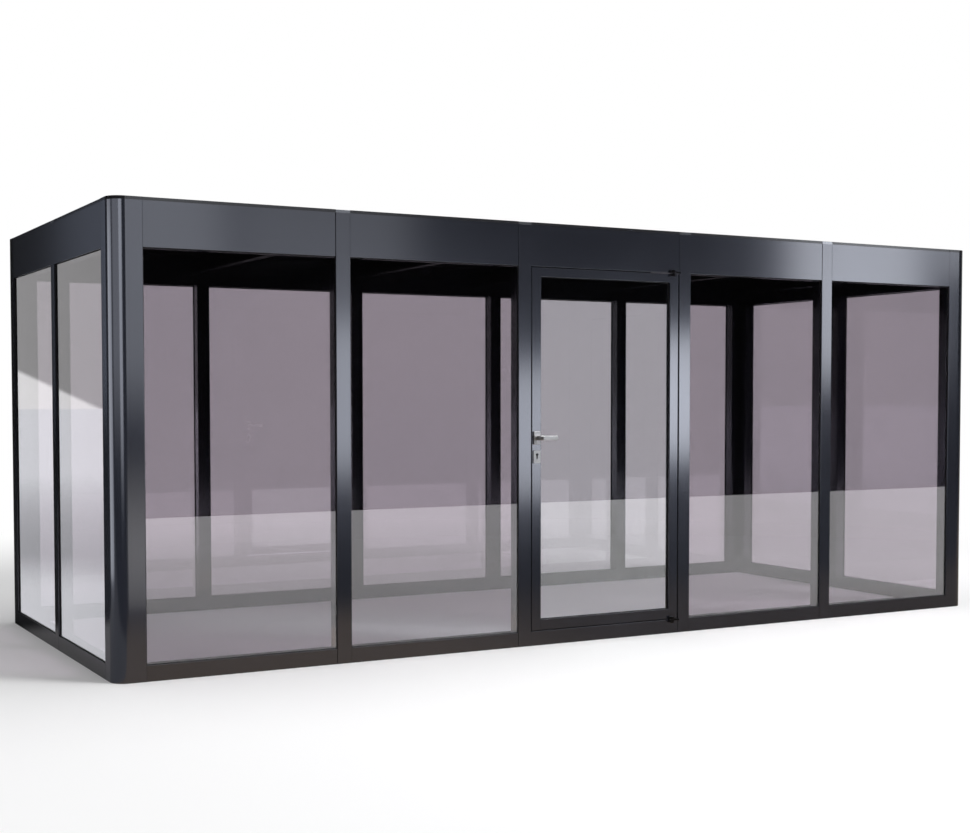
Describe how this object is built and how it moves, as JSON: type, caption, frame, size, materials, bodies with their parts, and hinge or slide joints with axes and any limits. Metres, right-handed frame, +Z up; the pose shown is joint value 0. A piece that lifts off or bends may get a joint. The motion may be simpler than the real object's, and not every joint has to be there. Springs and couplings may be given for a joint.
{
  "type": "glass greenhouse",
  "caption": "Long flat-roofed greenhouse with an extruded frame, round corner posts, deep fascia, tinted panes on every wall and a pivot-hung glass door with a lever handle.",
  "frame": {"origin": "middle of the building's footprint at ground level", "axes": "+X along the front wall to the right as seen from outside, -Y out of the front wall with the door, +Z up"},
  "size_m": [5.64, 2.376, 2.33],
  "materials": {
    "frame_paint": "satin",
    "cap_paint": "satin",
    "edge_paint": "satin",
    "roof_coating": "matte",
    "beam_paint": "matte",
    "tinted_glass": "polished",
    "light_glass": "polished",
    "rubber_seal": "matte",
    "satin_silver": "satin",
    "spindle_steel": "satin",
    "hinge_metal": "satin"
  },
  "bodies": {
    "frame": {"corner_post_front_left": "frame_paint", "corner_post_front_right": "frame_paint", "corner_post_rear_left": "frame_paint", "corner_post_rear_right": "frame_paint", "door_stop": "frame_paint", "door_threshold": "frame_paint", "end_fascias": "frame_paint", "end_glass": "tinted_glass", "end_mullions": "frame_paint", "end_sills": "frame_paint", "front_fascia_1": "frame_paint", "front_fascia_2": "frame_paint", "front_fascia_3": "frame_paint", "front_fascia_4": "frame_paint", "front_fascia_5": "frame_paint", "front_glass": "tinted_glass", "front_mullion_1": "frame_paint", "front_mullion_2": "frame_paint", "front_mullion_3": "frame_paint", "front_mullion_4": "frame_paint", "front_sills": "frame_paint", "hinge_brackets": "hinge_metal", "mullion_caps": "cap_paint", "post_caps": "edge_paint", "rear_fascias": "frame_paint", "rear_glass": "tinted_glass", "rear_mullions": "frame_paint", "rear_sills": "frame_paint", "roof_beams": "beam_paint", "roof_edge_strips": "edge_paint", "roof_joint_covers": "roof_coating", "roof_panels": "roof_coating", "wall_gaskets": "rubber_seal"},
    "door_leaf": {"door_lock_stile": "frame_paint", "door_hinge_stile": "frame_paint", "door_top_rail": "frame_paint", "door_bottom_rail": "frame_paint", "door_glass": "light_glass", "door_gasket": "rubber_seal", "door_hinge_knuckles": "hinge_metal", "handle_plates": "satin_silver"},
    "lever": {"lever_outside": "satin_silver", "lever_inside": "satin_silver", "lever_spindle": "spindle_steel"}
  },
  "joints": [
    {"name": "door_swing", "type": "hinge", "parent": "frame", "child": "door_leaf", "pos_m": [0.445, -1.176, 1.085], "axis": [0, 0, 1], "range_deg": [0, 100]},
    {"name": "lever_turn", "type": "hinge", "parent": "door_leaf", "child": "lever", "pos_m": [-0.466, -1.14, 1.15], "axis": [0, 1, 0], "range_deg": [0, 40], "stiffness_Nm_per_rad": 1, "springref_deg": -20.05}
  ]
}
